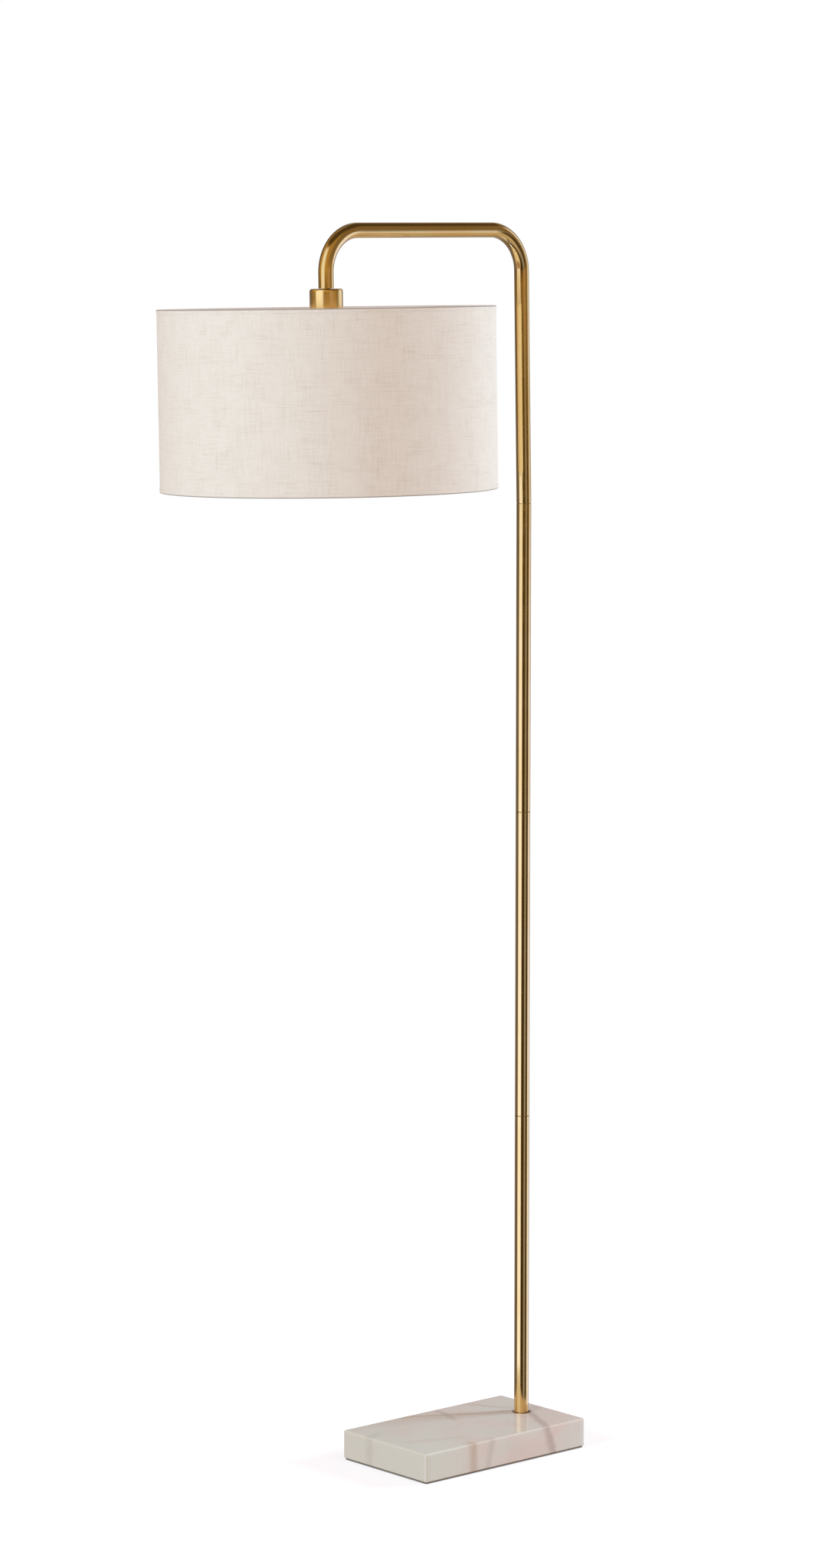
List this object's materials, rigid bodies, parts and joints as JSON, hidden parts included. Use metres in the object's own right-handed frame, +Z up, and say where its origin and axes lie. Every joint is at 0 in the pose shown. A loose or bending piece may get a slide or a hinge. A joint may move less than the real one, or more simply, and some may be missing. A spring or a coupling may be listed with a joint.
{
  "type": "arc floor lamp",
  "caption": "Floor lamp with a rectangular marble slab, a slim brass pole that bends over in a short arm, and a linen drum shade hanging from a brass cup.",
  "frame": {"origin": "middle of the pad's underside, on the floor", "axes": "+Z up the pole, -X from the pole towards the head along the arm and the slab's long side, +Y across the slab"},
  "size_m": [0.5809, 0.42, 1.597],
  "materials": {
    "felt": "matte",
    "marble": "gloss",
    "brass": "satin",
    "steel": "satin",
    "nickel": "gloss",
    "linen": "matte",
    "liner": "matte",
    "wire": "satin",
    "phenolic": "gloss",
    "lead_cover": "satin",
    "glass": "satin"
  },
  "bodies": {
    "stand": {"base_pad": "felt", "marble_base": "marble", "lead_grommet": "phenolic", "pole_seat": "brass", "base_washer": "steel", "spring_washer": "steel", "base_nut": "steel", "base_rod": "steel", "foot_insert": "brass", "lower_pole": "brass", "middle_pole": "brass", "upper_pole": "brass", "pole_socket_1": "steel", "pole_socket_2": "steel", "pole_socket_3": "steel", "pole_stud_1": "steel", "pole_stud_2": "steel", "pole_stud_3": "steel", "arch_pole": "brass", "arch_insert": "brass", "lamp_lead": "lead_cover", "socket_cup": "brass", "nipple": "steel", "cup_washer": "steel", "cup_nut": "brass", "holder_cap": "phenolic", "holder_body": "phenolic", "screw_shell": "brass", "contact_rivet": "nickel", "centre_contact": "brass", "terminal_screw_1": "nickel", "terminal_screw_2": "nickel", "shade_ring": "phenolic"},
    "shade": {"shade_hub": "wire", "shade_spoke_1": "wire", "shade_spoke_2": "wire", "shade_spoke_3": "wire", "top_wire": "wire", "bottom_wire": "wire", "shade_linen": "linen", "shade_liner": "liner", "top_hem": "linen", "bottom_hem": "linen"},
    "switch": {"switch_shaft": "nickel", "switch_knob": "phenolic"},
    "bulb": {"bulb_contact": "nickel", "bulb_insulator": "phenolic", "bulb_cap": "nickel", "bulb_glass": "glass"}
  },
  "joints": [
    {"name": "shade_turn", "type": "hinge", "parent": "stand", "child": "shade", "pos_m": [-0.23132, 0, 1.45419], "axis": [-0.0175, 0, 0.9998], "continuous": true},
    {"name": "switch_turn", "type": "hinge", "parent": "stand", "child": "switch", "pos_m": [-0.23172, 0.03, 1.47724], "axis": [0, 1, 0], "continuous": true},
    {"name": "bulb_unscrew", "type": "slide", "parent": "stand", "child": "bulb", "axis": [0.0175, 0, -0.9998], "range_m": [0, 0.215]}
  ]
}
